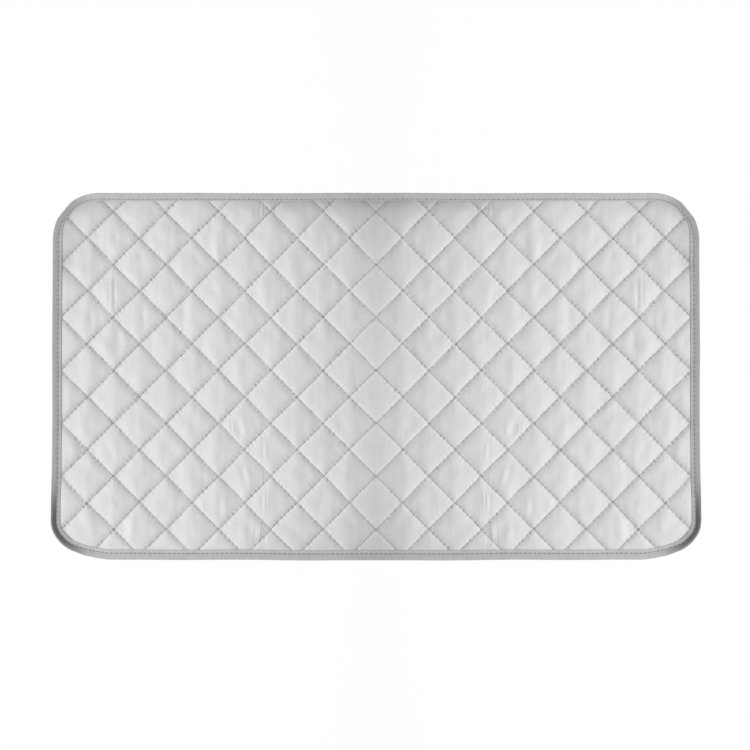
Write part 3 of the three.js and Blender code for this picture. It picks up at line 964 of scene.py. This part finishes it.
def woven_tape(colours, seam_at, stitch):
    """Woven polyester tape: mid grey, matt, with fine ribs across its length."""
    material, tree, out = new_material("woven_polyester_tape")
    place = add_node(tree, "ShaderNodeUVMap", uv_map="Tape").outputs[0]
    # ribs across the tape, 0.7 mm apart
    ribs = add_node(
        tree, "ShaderNodeTexWave", {"Vector": place, "Scale": 1 / 0.7 / MM / 2, "Distortion": 0.6},
        wave_type="BANDS", bands_direction="X",
    )
    # yarns along it, 0.9 mm apart
    yarns = add_node(
        tree, "ShaderNodeTexWave", {"Vector": place, "Scale": 1 / 0.9 / MM / 2, "Distortion": 1.0},
        wave_type="BANDS", bands_direction="Y",
    )
    worn = add_node(tree, "ShaderNodeTexNoise", {"Vector": place, "Scale": 130, "Detail": 4})
    tone = add_node(
        tree, "ShaderNodeMapRange",
        {"Value": worn.outputs["Fac"], "From Min": 0.3, "From Max": 0.7, "To Min": 0.92, "To Max": 1.05},
    )
    # painted shade from the map: the tape is darker along the short sides and at the far seam, and darkest
    # round the near corners' outer edge
    painted_shading = add_node(tree, "ShaderNodeUVMap", uv_map="PaintedShade").outputs[0]
    painted_shading = add_node(tree, "ShaderNodeSeparateXYZ", {"Vector": painted_shading})
    tone = add_node(
        tree, "ShaderNodeMath", {0: tone.outputs[0], 1: painted_shading.outputs["X"]}, operation="MULTIPLY"
    )
    # painted shade in the ribs' grooves, up to 7% darker
    groove_shade = add_node(
        tree, "ShaderNodeMapRange",
        {"Value": ribs.outputs["Fac"], "From Min": 0.0, "From Max": 0.5, "To Min": 0.93, "To Max": 1.0},
    )
    shade = add_node(
        tree, "ShaderNodeMath", {0: tone.outputs[0], 1: groove_shade.outputs[0]}, operation="MULTIPLY"
    )
    # the seam's line sinks in, and painted shade darkens it, most at its needle holes
    parts = add_node(tree, "ShaderNodeSeparateXYZ", {"Vector": place})
    off = add_node(tree, "ShaderNodeMath", {0: parts.outputs["Y"], 1: seam_at}, operation="SUBTRACT")
    off = add_node(tree, "ShaderNodeMath", {0: off.outputs[0]}, operation="ABSOLUTE")
    turns = add_node(
        tree, "ShaderNodeMath", {0: parts.outputs["X"], 1: math.tau / stitch}, operation="MULTIPLY"
    )
    waves = add_node(tree, "ShaderNodeMath", {0: turns.outputs[0]}, operation="COSINE")
    hole = add_node(
        tree, "ShaderNodeMapRange",
        {"Value": waves.outputs[0], "From Min": -0.2, "From Max": 0.9, "To Min": 0.85, "To Max": 0.36},
    )
    sunk = add_node(
        tree, "ShaderNodeMapRange",
        {
            "Value": off.outputs[0], "From Min": 0.4 * MM, "From Max": 1.1 * MM, "To Min": hole.outputs[0],
            "To Max": 1.0,
        },
        interpolation_type="SMOOTHSTEP",
    )
    shade = add_node(
        tree, "ShaderNodeMath", {0: shade.outputs[0], 1: sunk.outputs[0]}, operation="MULTIPLY"
    )
    base = add_node(
        tree, "ShaderNodeVectorMath", {0: tuple(colours.tape), "Scale": shade.outputs[0]}, operation="SCALE"
    )
    first = add_node(
        tree, "ShaderNodeBump", {"Height": ribs.outputs["Fac"], "Strength": 1.0, "Distance": 0.05 * MM}
    )
    second = add_node(
        tree, "ShaderNodeBump",
        {"Height": yarns.outputs["Fac"], "Strength": 1.0, "Distance": 0.02 * MM, "Normal": first.outputs[0]},
    )
    third = add_node(
        tree, "ShaderNodeBump",
        {"Height": worn.outputs["Fac"], "Strength": 1.0, "Distance": 0.25 * MM, "Normal": second.outputs[0]},
    )
    tape = add_node(
        tree, "ShaderNodeBsdfPrincipled",
        {"Base Color": base.outputs[0], "Roughness": 0.62, "Normal": third.outputs[0], "Sheen Weight": 0.1},
    )
    tree.links.new(tape.outputs[0], out.inputs["Surface"])
    return material


def sewing_thread(colours):
    """Spun polyester thread: soft shine on its twist."""
    material, tree, out = new_material("spun_polyester_thread")
    spot = add_node(tree, "ShaderNodeTexCoord").outputs["Object"]
    # the twist's plies, drawn 0.5 mm long
    twist = add_node(
        tree, "ShaderNodeTexWave", {"Vector": spot, "Scale": 1 / 0.5 / MM / 2, "Distortion": 1.0},
        wave_type="BANDS", bands_direction="DIAGONAL",
    )
    # painted shade between the twist's plies, up to 14% darker
    tone = add_node(
        tree, "ShaderNodeMapRange",
        {"Value": twist.outputs["Fac"], "From Min": 0.0, "From Max": 1.0, "To Min": 0.86, "To Max": 1.0},
    )
    base = add_node(
        tree, "ShaderNodeVectorMath", {0: tuple(colours.thread), "Scale": tone.outputs[0]}, operation="SCALE"
    )
    bumps = add_node(
        tree, "ShaderNodeBump", {"Height": twist.outputs["Fac"], "Strength": 1.0, "Distance": 0.03 * MM}
    )
    thread = add_node(
        tree, "ShaderNodeBsdfPrincipled",
        {"Base Color": base.outputs[0], "Roughness": 0.5, "Normal": bumps.outputs[0]},
    )
    tree.links.new(thread.outputs[0], out.inputs["Surface"])
    return material


def material_of(name, make):
    """The named material, made the first time that it is asked for."""
    return bpy.data.materials.get(name) or make()


# Threads


def thread_piece(name, rows, thickness):
    """One thread as a round tube along rows of x, y and z, with closed ends."""
    curve = bpy.data.curves.new(name, "CURVE")
    curve.dimensions = "3D"
    curve.bevel_depth = thickness / 2
    curve.bevel_resolution = 0
    curve.use_fill_caps = True
    spline = curve.splines.new("POLY")
    spline.points.add(len(rows) - 1)
    spline.points.foreach_set("co", np.column_stack([rows, np.ones(len(rows))]).ravel())
    piece = bpy.data.objects.new(name, curve)
    bpy.context.scene.collection.objects.link(piece)
    only(piece)
    bpy.ops.object.convert(target="MESH")
    piece = bpy.context.object
    on_whole(piece, bpy.ops.mesh.remove_doubles, threshold=SAME_PLACE)
    return piece


# Places along one stitch as shares of its length, with how far the thread is lifted there, as a share of its
# thickness. The first place is the needle hole
STITCH_SHAPE = ((0.0, None), (0.07, 0.35), (0.2, 0.9), (0.5, 1.0), (0.8, 0.9), (0.93, 0.35))


def stitched(holes, top, deep, thickness, rise, sign):
    """Rows of a thread that dips at each hole and lies above (sign 1) or below (-1) the cloth in between."""
    rows = []
    for start, end in zip(holes, holes[1:]):
        for share, lift in STITCH_SHAPE:
            spot = start * (1 - share) + end * share
            if lift is None:
                rows.append((*spot, deep))
            else:
                level = top + rise * math.sin(math.pi * share) ** 0.5
                rows.append((*spot, level + sign * thickness * (lift - 0.5)))
    rows.append((*holes[-1], deep))
    return np.array(rows)


# The camera looks straight down, and this much of the floor shows to either side of its middle
CAMERA_SPOT = (-0.00138, 0.00131)
HALF_VIEW = 0.49235
CAMERA_LENS = 85
CAMERA_SENSOR = 36

FLOOR_SIZE = 8
SURROUNDING_LIGHT = 0.70
# the floor shows this share of its white whatever light falls on it, and the rest keeps the pad's shadow
FLOOR_WHITE = 0.975
WHITE = (1, 1, 1, 1)

# Each lamp's name, place, aim, width, power in watts, cone in degrees and the cone's soft share. The two at
# the sides light one half of the pad each, as in the photograph: they are small, so that their light parts
# sharply at the pad's middle. The near one is broad and weak, and the surrounding light softens all three
LAMPS = (
    ("lamp_left", (-2.6, -0.3, 1.9), (-2.275, -0.172, 0.0), 0.05, 190, 88.45, 0.01),
    ("lamp_right", (2.6, -0.3, 1.9), (2.275, -0.172, 0.0), 0.05, 190, 88.45, 0.01),
    ("lamp_near", (0.0, -2.2, 1.1), (0.0, 0.0, 0.0), 0.8, 16, 40, 0.5),
)


class IRONINGPAD_OT_stage(Operator):
    """Sets up the camera, the three lamps, the surrounding light and the floor"""

    bl_idname = "ironing_pad.stage"
    bl_label = "Stage"

    def execute(self, context):
        scene = context.scene
        scene.view_settings.view_transform = "Standard"
        deselect()
        half_angle = math.atan(CAMERA_SENSOR / 2 / CAMERA_LENS)
        high = HALF_VIEW / math.tan(half_angle)
        bpy.ops.object.camera_add(location=(*CAMERA_SPOT, high), rotation=(0, 0, 0))
        camera = context.object
        camera.data.lens = CAMERA_LENS
        camera.data.sensor_width = CAMERA_SENSOR
        scene.camera = camera
        for name, place, aim, width, power, cone, soft in LAMPS:
            bpy.ops.object.light_add(type="SPOT", location=place)
            lamp = context.object
            lamp.name = name
            way = Vector(aim) - lamp.location
            lamp.rotation_mode = "QUATERNION"
            lamp.rotation_quaternion = way.to_track_quat("-Z", "Y")
            lamp.data.shadow_soft_size = width / 2
            lamp.data.energy = power
            lamp.data.spot_size = math.radians(cone)
            lamp.data.spot_blend = soft
        world = bpy.data.worlds.new("surrounding_light")
        scene.world = world
        world.use_nodes = True
        tree = world.node_tree
        tree.nodes.clear()
        out = tree.nodes.new("ShaderNodeOutputWorld")
        rays = add_node(tree, "ShaderNodeLightPath")
        shown = add_node(
            tree, "ShaderNodeMath",
            {0: rays.outputs["Is Camera Ray"], 1: rays.outputs["Is Transmission Ray"]}, operation="MAXIMUM",
        )
        around = add_node(tree, "ShaderNodeBackground", {"Color": WHITE, "Strength": SURROUNDING_LIGHT})
        seen = add_node(tree, "ShaderNodeBackground", {"Color": WHITE, "Strength": 1.0})
        mix = add_node(
            tree, "ShaderNodeMixShader", {0: shown.outputs[0], 1: around.outputs[0], 2: seen.outputs[0]}
        )
        tree.links.new(mix.outputs[0], out.inputs["Surface"])
        bpy.ops.mesh.primitive_plane_add(size=FLOOR_SIZE, location=(0, 0, 0))
        floor = context.object
        floor.name = "floor"
        floor.data.materials.append(self.floor_paper())
        return {"FINISHED"}

    def floor_paper(self):
        """White studio paper that looks white to the camera and keeps a little of the pad's shadow."""
        material, tree, out = new_material("white_studio_paper")
        rays = add_node(tree, "ShaderNodeLightPath")
        seen = add_node(
            tree, "ShaderNodeMath",
            {0: rays.outputs["Is Camera Ray"], 1: rays.outputs["Is Glossy Ray"]}, operation="MAXIMUM",
        )
        seen = add_node(
            tree, "ShaderNodeMath",
            {0: seen.outputs[0], 1: rays.outputs["Is Transmission Ray"]}, operation="MAXIMUM",
        )
        share = add_node(tree, "ShaderNodeMath", {0: seen.outputs[0], 1: FLOOR_WHITE}, operation="MULTIPLY")
        paper = add_node(tree, "ShaderNodeBsdfDiffuse", {"Color": (*linear("EFEFEF"), 1)})
        white = add_node(tree, "ShaderNodeEmission", {"Color": WHITE, "Strength": 1.0})
        mix = add_node(
            tree, "ShaderNodeMixShader", {0: share.outputs[0], 1: paper.outputs[0], 2: white.outputs[0]}
        )
        tree.links.new(mix.outputs[0], out.inputs["Surface"])
        return material


class IRONINGPAD_OT_face_cloth(Operator):
    """Makes the silver-coated face cloth, quilted in diamonds"""

    bl_idname = "ironing_pad.face_cloth"
    bl_label = "Face cloth"

    def execute(self, context):
        quilt, binding = context.scene.quilt_sizes, context.scene.binding_sizes
        piece, p, q = quilted_grid(quilt, "quilted_face_cloth")
        height, far, way = face_height(quilt, binding, p, q)
        rows = places(piece)
        rows[:, 2] = height
        place_all(piece, rows)
        # held fast at the seams and under the tape, and loosely elsewhere
        leg = by_side(way, binding.side_leg, binding.far_leg, binding.near_leg)
        gap_p, gap_q = seam_gaps(quilt, p, q)
        sewn = (np.minimum(gap_p, gap_q) < 0.1 * MM) | (far < leg + 0.001)
        held = np.where(sewn, 1.0, 0.1)
        settle(piece, held, slack_along=0.006, slack_across=0.004, most=0.8 * MM)
        rows = places(piece)
        rows[:, 2] += face_folds(quilt, binding, p, q)
        # what stands above the solid's top is pressed down to less than half of it
        over = np.clip(rows[:, 2] - PAD_HIGH.z, 0, None)
        rows[:, 2] -= 0.6 * over
        place_all(piece, rows)
        # painted shade and highlight on the coating, which the material reads from a UV map
        tone = painted_face_shade(quilt, binding, p, q)
        give_map(piece, "PaintedShade", tone, tone)
        apply_modifier(piece, "SOLIDIFY", thickness=quilt.cloth, offset=-1, use_even_offset=False)
        colours = context.scene.pad_colours
        made = material_of("silver_coated_cotton", lambda: silver_coated_cotton(colours, quilt))
        finish_piece(piece, made, "silver_coated_cloth", "face_cloth")
        return {"FINISHED"}


class IRONINGPAD_OT_backing_cloth(Operator):
    """Makes the backing cloth under the wadding"""

    bl_idname = "ironing_pad.backing_cloth"
    bl_label = "Backing cloth"

    def execute(self, context):
        quilt, binding = context.scene.quilt_sizes, context.scene.binding_sizes
        piece, p, q = quilted_grid(quilt, "quilted_backing_cloth")
        rows = places(piece)
        rows[:, 2] = backing_height(quilt, binding, p, q)
        place_all(piece, rows)
        apply_modifier(piece, "SOLIDIFY", thickness=quilt.cloth, offset=1, use_even_offset=False)
        tint = context.scene.pad_colours.backing
        # matt cotton with a grain of about 1 mm
        made = material_of(
            "backing_cotton",
            lambda: plain_fibre("backing_cotton", tint, roughness=0.85, grain=900, bump=0.05 * MM),
        )
        finish_piece(piece, made, "backing_cloth", "backing_cloth")
        return {"FINISHED"}


class IRONINGPAD_OT_wadding(Operator):
    """Makes the wadding that fills the space between the two cloths"""

    bl_idname = "ironing_pad.wadding"
    bl_label = "Wadding"

    def execute(self, context):
        quilt = context.scene.quilt_sizes
        piece, p, q = quilted_grid(quilt, "needled_wadding")
        # both cloths have the same mesh lines, with their upper side's vertices first
        rows = places(bpy.data.objects["quilted_face_cloth"])[: len(p)]
        bottom = places(bpy.data.objects["quilted_backing_cloth"])[: len(p)]
        bottom[:, 2] += 0.06 * MM
        # it stays clear of the cloths, most where the face cloth has folds, and is pressed thin at the seams
        rows[:, 2] -= quilt.cloth + 0.10 * MM + 0.3 * MM * swelling(quilt, p, q, FOLD_EDGE)
        rows[:, 2] = np.maximum(rows[:, 2], bottom[:, 2] + 0.03 * MM)
        place_all(piece, rows)
        on_whole(piece, bpy.ops.mesh.extrude_region)
        raised = np.zeros(len(piece.data.vertices), dtype=bool)
        piece.data.vertices.foreach_get("select", raised)
        rows = places(piece)
        rows[np.nonzero(~raised)[0][: len(bottom)]] = bottom
        place_all(piece, rows)
        tint = context.scene.pad_colours.wadding
        # soft needled fibre with tufts of about 2 mm
        made = material_of(
            "needled_polyester",
            lambda: plain_fibre("needled_polyester", tint, roughness=0.95, grain=500, bump=0.2 * MM),
        )
        finish_piece(piece, made, "polyester_wadding", "wadding")
        return {"FINISHED"}


# Rows of the folded tape. The margin's places are shares of the way from the seam to the tape's inner edge,
# and the outer ones are shares of the way from the pad's edge to the seam. Heights are in mm
MARGIN_SHARES = (1.0, 0.8, 0.55, 0.3, 0.12)
OUTER_SHARES = (0.9, 0.78, 0.6, 0.42, 0.28, 0.17, 0.09, 0.035)
TOP_HEIGHTS = (3.50, 3.64, 3.76, 3.84, 3.86, 3.82, 3.66, 3.20)
EDGE_HEIGHT = 1.98
UNDER_HEIGHTS = (0.12, 0.05, 0.0, 0.0, 0.02, 0.12, 0.42, 1.10)
SEAM_ABOVE = 3.36
SEAM_BELOW = 0.16
SEAM_TIER = len(MARGIN_SHARES)
STATIONS_A_STITCH = 4

# How bright the tape is painted by the way that the edge faces, in degrees: painted shade, darkest on the
# short sides
TAPE_TURNS = (-90, -75, -45, -10, 20, 45, 62, 80)
TAPE_PAINTED_SHADE = (1.0, 1.0, 0.85, 0.77, 0.75, 0.72, 0.85, 1.04)

# Middle of the near corners' painted shade, and how dark its deepest part is painted by the tape's row
PAINTED_SHADE_CORNER = (0.413, -0.198)
DEEPEST_TIERS = (5, 6, 9, 11)
DEEPEST_SHARES = (0.4, 0.62, 0.62, 0.0)


class IRONINGPAD_OT_binding_tape(Operator):
    """Folds the woven tape round the whole edge"""

    bl_idname = "ironing_pad.binding_tape"
    bl_label = "Binding tape"

    def execute(self, context):
        quilt, binding = context.scene.quilt_sizes, context.scene.binding_sizes
        around = edge_length(quilt)
        stitches = round(around / binding.stitch)
        stations = stitches * STATIONS_A_STITCH
        edge, out, _ = rim(quilt, stations)
        inset, height = self.section(binding, edge, out)
        piece, column, row = grid_piece("folded_binding_tape", stations, len(inset) - 1)
        wave = edge_wave(edge, out)
        x = edge[None, :, 0] - out[None, :, 0] * (inset - wave)
        y = edge[None, :, 1] - out[None, :, 1] * (inset - wave)
        # the margin lies on the face cloth, and the rows from the seam outwards stay above it
        face = bpy.data.objects["quilted_face_cloth"]
        for tier in range(SEAM_TIER + 4):
            cloth = top_of(face, x[tier], y[tier])
            if tier < SEAM_TIER:
                height[tier] += cloth
            else:
                height[tier] = np.maximum(height[tier], cloth + binding.tape + 0.12 * MM)
        station = column % stations
        rows = np.stack([x[row, station], y[row, station], height[row, station]], 1)
        across = np.concatenate([[0], np.cumsum(np.hypot(np.diff(inset[:, 0]), np.diff(height[:, 0])))])
        place_all(piece, rows)
        give_map(piece, "Tape", column * around / stations, across[row])
        upper = row < len(inset) - SEAM_TIER - 1
        tone = self.tone(edge, out, station, row, upper, rows)
        give_map(piece, "PaintedShade", tone, tone)
        on_whole(piece, bpy.ops.mesh.remove_doubles, threshold=0.01 * MM)
        on_whole(piece, bpy.ops.mesh.normals_make_consistent, inside=False)
        apply_modifier(piece, "SOLIDIFY", thickness=binding.tape, offset=-1, use_even_offset=False)
        seam_at = float(across[SEAM_TIER])
        made = material_of(
            "woven_polyester_tape",
            lambda: woven_tape(context.scene.pad_colours, seam_at, around / stitches),
        )
        finish_piece(piece, made, "binding_tape", "binding_tape")
        return {"FINISHED"}

    def section(self, binding, edge, out):
        """How far inside the edge and how high each row of the tape lies, all the way round."""
        seam = by_side(out, binding.side_seam, binding.far_seam, binding.near_seam)
        leg = by_side(out, binding.side_leg, binding.far_leg, binding.near_leg)
        # the margin is narrower round the far corners
        leg = leg - 1.9 * MM * dome(facing(out), 48, 40, 4)
        hole = 0.5 + 0.5 * np.cos(math.tau * np.arange(len(edge)) / STATIONS_A_STITCH)
        wobble = uneven(edge[:, 0], edge[:, 1], 0.09, SEEDS["tape"])
        tiers = []
        for share in MARGIN_SHARES:
            tiers.append((seam + (leg - seam) * share, (0.08 + 0.06 * share) * MM + binding.tape))
        tiers.append((seam, (SEAM_ABOVE - 0.22 * hole) * MM))
        for share, level in zip(OUTER_SHARES, TOP_HEIGHTS):
            tiers.append((seam * share, level * MM + 0.10 * MM * wobble * (share > 0.1)))
        tiers.append((0, EDGE_HEIGHT * MM))
        for share, level in zip(reversed(OUTER_SHARES), reversed(UNDER_HEIGHTS)):
            tiers.append((seam * share, level * MM))
        tiers.append((seam, (SEAM_BELOW + 0.2 * hole) * MM))
        for share in reversed(MARGIN_SHARES):
            tiers.append((seam + (leg - seam) * share, 0.06 * MM * (1 - share)))
        none = np.zeros(len(edge))
        insets = np.array([none + inset for inset, _ in tiers])
        return insets, np.array([none + height for _, height in tiers])

    def tone(self, edge, out, station, row, upper, rows):
        """Painted shade on the tape: darker on the short sides, at the far seam, on the outer band's top and
        round the near corners.
        """
        inner = middle_part(edge[:, 0])
        # painted shade by the way that the edge faces, and a little more in the long sides' middle
        tone = np.interp(facing(out), TAPE_TURNS, TAPE_PAINTED_SHADE) * (1 - 0.05 * inner)
        # painted shade along the seam's line on the far side
        tone = tone[station] * (1 - 0.2 * (row == SEAM_TIER) * np.clip(out[station, 1], 0, 1) ** 2)
        outside = row > SEAM_TIER
        # painted shade: the outer band's top is a little darker than the margin and the underside
        tone = tone * np.where(outside & upper, 1, 1.06)
        # painted shade round the near corners, where the tape turns away, darkest on its outer rows
        aside, ahead = np.abs(rows[:, 0]) - PAINTED_SHADE_CORNER[0], rows[:, 1] - PAINTED_SHADE_CORNER[1]
        dark = np.where(outside, 0.42, 0.08) * smooth(1.25 - np.hypot(aside / 0.050, ahead / 0.068))
        tone = tone * (1 - dark)
        deepest = np.interp(row, DEEPEST_TIERS, DEEPEST_SHARES) * outside
        return tone * (1 - deepest * smooth(1.3 - np.hypot(aside / 0.034, ahead / 0.042)))


class IRONINGPAD_OT_binding_threads(Operator):
    """Sews the binding's seam with its needle and bobbin threads"""

    bl_idname = "ironing_pad.binding_threads"
    bl_label = "Binding threads"

    def execute(self, context):
        quilt, binding = context.scene.quilt_sizes, context.scene.binding_sizes
        stitches = round(edge_length(quilt) / binding.stitch)
        edge, out, _ = rim(quilt, stitches)
        seam = by_side(out, binding.side_seam, binding.far_seam, binding.near_seam)
        holes = edge - out * (seam - edge_wave(edge, out))[:, None]
        holes = np.concatenate([holes, holes[:1]])
        made = material_of("spun_polyester_thread", lambda: sewing_thread(context.scene.pad_colours))
        thick = binding.thread
        for name, top, deep, sign in (
            ("binding_needle_thread", SEAM_ABOVE * MM, 2.5 * MM, 1),
            ("binding_bobbin_thread", SEAM_BELOW * MM, 0.9 * MM, -1),
        ):
            rows = stitched(holes, top, deep, thickness=thick * 0.9, rise=0, sign=sign)
            if sign < 0:
                # it stays just above the table
                rows[:, 2] = np.maximum(rows[:, 2], thick * 0.55)
            piece = thread_piece(name + "_sewn", rows, thick)
            finish_piece(piece, made, "sewing_thread", name)
        return {"FINISHED"}


class IRONINGPAD_OT_quilting_threads(Operator):
    """Sews the quilting's zigzag seams, each with its needle and bobbin thread"""

    bl_idname = "ironing_pad.quilting_threads"
    bl_label = "Quilting threads"

    def execute(self, context):
        quilt, binding = context.scene.quilt_sizes, context.scene.binding_sizes
        made = material_of("spun_polyester_thread", lambda: sewing_thread(context.scene.pad_colours))
        thick = binding.thread
        for number in range(1, THREADS + 1):
            holes = self.holes(quilt, number)
            for kind in ("needle", "bobbin"):
                node = f"quilting_{kind}_thread_{number:02d}"
                low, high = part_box(node)
                mine = holes[(holes[:, 1] > low.y - 0.001) & (holes[:, 1] < high.y + 0.001)]
                if kind == "needle":
                    rows = stitched(mine, quilt.seam_height, 2.0 * MM, thick, rise=0.03 * MM, sign=1)
                else:
                    rows = stitched(mine, quilt.back_seam, 2.2 * MM, thick, rise=0, sign=-1)
                piece = thread_piece(node + "_sewn", rows, thick)
                finish_piece(piece, made, "sewing_thread", node)
        return {"FINISHED"}

    def holes(self, quilt, number):
        """Needle holes of one zigzag thread from the near side to the far one."""
        # each thread turns a little short of the crossing, and some run straight on for a stitch there
        short, straight = 0.9 * MM, 2.4 * MM
        column = number - THREADS // 2 - 1
        spots = []
        for row in range(-8, 9):
            at_first = (column + row) % 2 == 0
            turn = column if at_first else column + 1
            dice = np.random.default_rng(int(SEEDS["crossings"] + 40 * abs(turn) + row))
            x, y = pattern_place(quilt, *self.crossing(turn, row))
            upright = dice.random() < 0.5
            spots.append((x + short * (1 if at_first else -1), y, upright))
        holes = []
        for first, second in zip(spots, spots[1:]):
            start = np.array(first[:2]) + (0, straight if first[2] else 0)
            end = np.array(second[:2]) - (0, straight if second[2] else 0)
            for i in range(quilt.stitches + (1 if second[2] else 0)):
                holes.append(start + (end - start) * i / quilt.stitches)
        return np.array(holes)

    def crossing(self, column, row):
        """The pattern's p and q at one crossing of the seams."""
        return np.float64((row + column) / 2), np.float64((row - column) / 2)


OPERATORS = (
    IRONINGPAD_OT_stage,
    IRONINGPAD_OT_face_cloth,
    IRONINGPAD_OT_backing_cloth,
    IRONINGPAD_OT_wadding,
    IRONINGPAD_OT_binding_tape,
    IRONINGPAD_OT_binding_threads,
    IRONINGPAD_OT_quilting_threads,
)


class IRONINGPAD_PT_pieces(Panel):
    """Lists the sizes, the colours and the steps of the ironing pad"""

    bl_label = "Ironing pad"
    bl_space_type = "VIEW_3D"
    bl_region_type = "UI"
    bl_category = "Ironing Pad"

    def draw(self, context):
        for group in (context.scene.quilt_sizes, context.scene.binding_sizes, context.scene.pad_colours):
            box = self.layout.box()
            for name in group.__annotations__:
                box.prop(group, name)
        for operator in OPERATORS:
            self.layout.operator(operator.bl_idname)


GROUPS = (QuiltSizes, BindingSizes, PadColours)


def register():
    """Makes the sizes, the operators and the panel known to Blender."""
    for made in (*GROUPS, *OPERATORS, IRONINGPAD_PT_pieces):
        bpy.utils.register_class(made)
    bpy.types.Scene.quilt_sizes = PointerProperty(type=QuiltSizes)
    bpy.types.Scene.binding_sizes = PointerProperty(type=BindingSizes)
    bpy.types.Scene.pad_colours = PointerProperty(type=PadColours)


def unregister():
    """Takes them out again."""
    del bpy.types.Scene.pad_colours
    del bpy.types.Scene.binding_sizes
    del bpy.types.Scene.quilt_sizes
    for made in reversed((*GROUPS, *OPERATORS, IRONINGPAD_PT_pieces)):
        bpy.utils.unregister_class(made)


def main():
    """Makes the whole pad, and works out the area inside its outline."""
    register()
    for operator in OPERATORS:
        group, name = operator.bl_idname.split(".")
        getattr(getattr(bpy.ops, group), name)()
    scene = bpy.context.scene
    quilt = scene.quilt_sizes
    area = 4 * quilt.half_length * quilt.half_width
    corners = quilt.far_corner**2 + quilt.near_corner_along * quilt.near_corner_across
    area -= (1 - math.pi / 4) * 2 * corners


if __name__ == "__main__":
    main()
